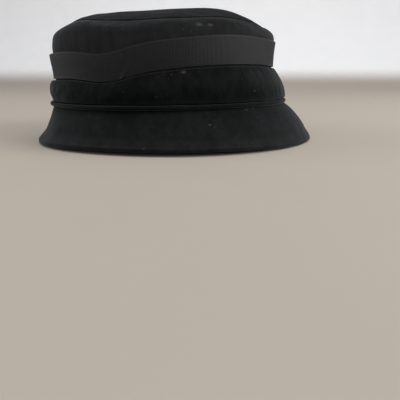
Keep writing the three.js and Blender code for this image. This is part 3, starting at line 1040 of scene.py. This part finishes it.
def brim_top_velvet():
    angle = turns(600)
    over = BRIM_SHARES.size  # columns that lie over the brim, before its edge
    to_edge = (1 - BRIM_SHARES) * (26 + 20 * smooth((np.cos(angle) + 1) / 2))
    free = smooth((BRIM_SHARES - PIPING_PLACE - 0.10) / 0.12)
    soft = 0.42 * swells(angle, to_edge, 71, waves=16, finest=44, most_turns=15) * smooth(to_edge / 6)
    ripple = 0.22 * swells(angle, to_edge, 72, waves=22, finest=22, most_turns=52) * bell(to_edge - 6, 6)
    hollow = -0.5 * bell(to_edge - 4.6, 2.2)  # beside the wire
    lift = np.clip((soft + ripple + hollow) * free, -0.9, 1.6)
    outer = on_hat(brim_face(angle, BRIM_HALF, lift), angle)
    inner = on_hat(brim_face(angle, BRIM_HALF - VELVET, 0), angle)
    past_edge = np.arange(outer.shape[1])[None, :] - (over + 5)
    # Painted light: the pile is painted paler round the wire edge and over the outer part of the brim,
    # standing in for light from below; at the edge it also wears.
    painted_light_paling = 0.75 * bell(past_edge, 7) * (0.65 + 0.35 * swells(angle, 0, 74, most_turns=30))
    painted_light_paling[:, :over] += 0.32 * smooth(1 - to_edge / 28)
    piece = layer("brim_top_velvet_cloth", outer, inner, worn=painted_light_paling)
    finished(piece, BRIM_PAINT, "velvet", "brim_top_velvet")


def brim_under_velvet():
    angle = turns(480)
    line = brim_line(angle)
    share = np.linspace(0, EDGE_TURN_UNDER - 0.001, 34)[None, :]
    hang = 0.12 * (1 + swells(angle, share * 40, 75, finest=30)) * smooth(share / 0.2)
    close = smooth((EDGE_TURN_UNDER - share) / 0.08)

    def face(lift):
        run = lifted(line, share, lift)
        start = pair(CROWN_RADIUS - SWEATBAND_DEPTH + 0.03, run[:, :1, 1])
        return on_hat(np.concatenate([start, run], 1), angle)

    upper = face(VELVET - BRIM_HALF)
    lower = face(-BRIM_HALF - hang * close + 0.25 * (1 - close))
    piece = layer("brim_under_velvet_cloth", upper, lower)
    finished(piece, BRIM_PAINT, "velvet", "brim_under_velvet")


def brim_buckram():
    angle = turns(240)
    line = brim_line(angle)
    share = np.linspace(0.06, 1 - (WIRE / 2 + CLEARANCE) / BRIM_RUN, 30)[None, :]
    upward = np.linspace(1, 0, 8)[None, :]

    def face(radius, lift):
        run = lifted(line, share, lift)
        low = lifted(line, 0.0, lift)[..., 1]
        collar = pair(radius, low + upward * (HEADLINE + COLLAR_HEIGHT - low))
        return on_hat(np.concatenate([collar, run], 1), angle)

    radius = CROWN_RADIUS - COLLAR_DEPTH
    upper = face(radius, BUCKRAM / 2)
    piece = layer("brim_buckram_weave", upper, face(radius - BUCKRAM, -BUCKRAM / 2))
    finished(piece, BUCKRAM_PAINT, "buckram", "brim_buckram")


# ---- stitches ----

THREAD = 0.35
THREAD_STEPS = 7
THREAD_SIDES = 6


def outward(angle):
    """Straight out from the hat's upright axis, for a column of angles."""
    return np.concatenate([np.cos(angle), np.sin(angle), 0 * angle], 1)


def stitches(name, starts, ends, outs):
    """Short stitches that rise out of the cloth and go back into it."""
    steps = np.linspace(0, 1, THREAD_STEPS)
    arch = 4 * steps * (1 - steps)
    path = starts[:, None] + (ends - starts)[:, None] * steps[None, :, None]
    path = path + outs[:, None] * (THREAD * (1.1 * arch - 0.6))[None, :, None]
    aside = np.cross(unit(ends - starts), outs)
    turn = np.linspace(0, TURN, THREAD_SIDES, endpoint=False)
    spoke = aside[:, None] * np.cos(turn)[None, :, None] + outs[:, None] * np.sin(turn)[None, :, None]
    girth = THREAD / 2 * (0.35 + 0.65 * arch)
    points = path[:, :, None] + spoke[:, None] * girth[None, :, None, None]
    shape = points.shape[:3]
    index = np.arange(math.prod(shape)).reshape(shape)
    here, there = index[:, :-1], index[:, 1:]
    quads = np.stack([here, there, np.roll(there, -1, 2), np.roll(here, -1, 2)], -1).reshape(-1, 4)
    mesh = bpy.data.meshes.new(name)
    ends_of = index[:, 0].tolist() + index[:, -1, ::-1].tolist()
    mesh.from_pydata((points.reshape(-1, 3) * MM).tolist(), [], quads.tolist() + ends_of)
    finished(shown(name, mesh), THREAD_PAINT, "grosgrain")


SWEATBAND_STITCHES = 80
RUNNING_ABOVE = 2.0  # the sweatband's lower edge
RUNNING_SHARE = 0.64  # of each stitch that shows


def sweatband_stitches():
    """The running stitch that holds the sweatband along its lower edge."""
    angle = turns(SWEATBAND_STITCHES)
    place = pair(SWEATBAND_FACE - RIBBON - 0.12, SWEATBAND_FOOT + RUNNING_ABOVE)
    reach = RUNNING_SHARE / 2 * TURN / SWEATBAND_STITCHES
    start = on_hat(place, angle - reach)[:, 0]
    end = on_hat(place, angle + reach)[:, 0]
    stitches("sweatband_stitches", start, end, -outward(angle))


BRIM_STITCHES = 150


def brim_stitches():
    """The slip stitches that close the upper velvet over the lower one, under the brim."""
    angle = turns(BRIM_STITCHES)
    line = brim_line(angle)
    start = on_hat(lifted(line, EDGE_TURN_UNDER + 0.012, -BRIM_HALF), angle)[:, 0]
    end = on_hat(lifted(line, EDGE_TURN_UNDER - 0.022, -BRIM_HALF + 0.15), angle + 0.010)[:, 0]
    outside = on_hat(lifted(line, EDGE_TURN_UNDER, -BRIM_HALF - 1), angle)[:, 0]
    stitches("brim_slip_stitches", start, end, unit(outside - start))


BAND_STITCHES = 9
BAND_STITCH_INSET = 1.6  # of the first and the last, from the ribbon's edges


def band_stitches():
    """The stitches down the folded end of the hatband."""
    down = np.linspace(BAND_STITCH_INSET, BAND_WIDTH - BAND_STITCH_INSET, BAND_STITCHES)[:, None]
    angle = BAND_END + 0 * down
    radius = BAND_IN + (1 + LAP_LIFT) * RIBBON + band_lift(angle, down)
    height = band_top(angle) - down
    start = on_hat(pair(radius, height), angle - 0.012)[:, 0]
    end = on_hat(pair(radius - 0.55, height - 0.5), angle + 0.008)[:, 0]
    stitches("hatband_stitches", start, end, outward(angle))


# ---- the hat ----

crown_tip_velvet()
crown_side_velvet()
crown_mull()
crown_buckram()
head_size_wire()
lining_tip()
lining_side()
sweatband()
sweatband_stitches()
hatband()
band_stitches()
cuff_velvet()
cuff_wadding()
piping_cover()
piping_cord()
brim_top_velvet()
brim_buckram()
brim_edge_wire()
brim_under_velvet()
brim_stitches()


# ---- floor, light and camera ----

# The backdrop, in metres.
FLOOR_HALF_WIDTH = 6.0
FLOOR_FRONT = -3.0
FLOOR_BACK = 2.2
WALL_BEND = 0.8
WALL_HEIGHT = 3.0


def backdrop():
    """A pale floor that curves up into a pale wall behind the hat."""
    curve = np.linspace(0, math.pi / 2, 24)
    wall = FLOOR_BACK + WALL_BEND
    depth = np.concatenate([[FLOOR_FRONT], FLOOR_BACK + WALL_BEND * np.sin(curve), [wall]])
    height = np.concatenate([[0], WALL_BEND * (1 - np.cos(curve)), [WALL_HEIGHT]])
    points = [(side * FLOOR_HALF_WIDTH, y, z) for side in (-1, 1) for y, z in zip(depth, height)]
    count = len(depth)
    faces = [(i, count + i, count + i + 1, i + 1) for i in range(count - 1)]
    mesh = bpy.data.meshes.new("backdrop")
    mesh.from_pydata(points, [], faces)
    mesh.shade_smooth()
    mesh.materials.append(backdrop_paint())
    floor = added("backdrop", mesh)


def backdrop_paint():
    """Warm pale floor and whiter wall, which the camera sees evenly lit because they glow for it as painted
    light, more towards the back and the right.
    """
    paint = Paint("backdrop_paint", 0.85, specular=0.2)
    place = paint.node("ShaderNodeSeparateXYZ", {0: paint.place}).outputs
    wall = paint.spread(place["Z"], 0.0, 0.12)
    grain = paint.spread(paint.noise(14, detail=3), 0.3, 0.7, 0.0, 0.05)
    tone = paint.mix(wall, (0.305, 0.270, 0.232, 1), (0.72, 0.72, 0.73, 1))
    tone = paint.mix(grain, tone, (0.24, 0.215, 0.19, 1))
    # Painted light: a glow seen by the camera and in reflections, stronger towards the back and the right.
    light = paint.node("ShaderNodeLightPath").outputs
    seen = paint.math("MAXIMUM", light["Is Camera Ray"], light["Is Glossy Ray"])
    seen = paint.math("MAXIMUM", seen, light["Is Transmission Ray"])
    far = paint.spread(place["Y"], 0.3, 2.4)
    side = paint.spread(place["X"], -2.0, 2.0, 0.42, 0.62)
    glow = paint.times(paint.times(seen, far), side)
    paint.feed(tone, paint.shader.inputs["Emission Color"])
    paint.feed(glow, paint.shader.inputs["Emission Strength"])
    return paint.done(tone)


def softbox(name, place, size, power, colour=(1, 1, 1)):
    """An area lamp that faces the middle of the hat."""
    lamp = bpy.data.lights.new(name, "AREA")
    lamp.shape = "RECTANGLE"
    lamp.size, lamp.size_y = size
    lamp.energy = power
    lamp.color = colour
    holder = added(name, lamp)
    middle = Vector((0, 0, HEIGHT / 2 * MM))
    holder.location = place
    holder.rotation_euler = (middle - Vector(place)).to_track_quat("-Z", "Y").to_euler()


def lights():
    softbox("window", (1.5, -0.35, 0.75), (1.3, 1.1), 30, (1.0, 0.99, 0.97))
    softbox("ceiling", (0.1, 0.1, 1.7), (1.6, 1.6), 22)
    softbox("far_window", (-1.6, 0.1, 0.75), (1.0, 1.0), 12)
    softbox("fill", (0.0, -1.6, 0.6), (1.4, 0.9), 5)
    world = bpy.data.worlds.new("room")
    world.use_nodes = True
    sky = world.node_tree.nodes["Background"].inputs
    sky["Color"].default_value = (0.95, 0.97, 1.0, 1)
    sky["Strength"].default_value = 0.42
    bpy.context.scene.world = world


CAMERA_PLACE = (24, -380, 55.5)
CAMERA_PITCH = 18.2  # degrees below the horizon
CAMERA_LENS = 33.93


def camera():
    lens = bpy.data.cameras.new("camera")
    lens.lens = CAMERA_LENS
    lens.clip_start = 0.01
    holder = added("camera", lens)
    holder.location = Vector(CAMERA_PLACE) * MM
    holder.rotation_euler = (math.radians(90 - CAMERA_PITCH), 0, 0)
    bpy.context.scene.camera = holder


backdrop()
lights()
camera()
bpy.context.scene.view_settings.view_transform = "Standard"
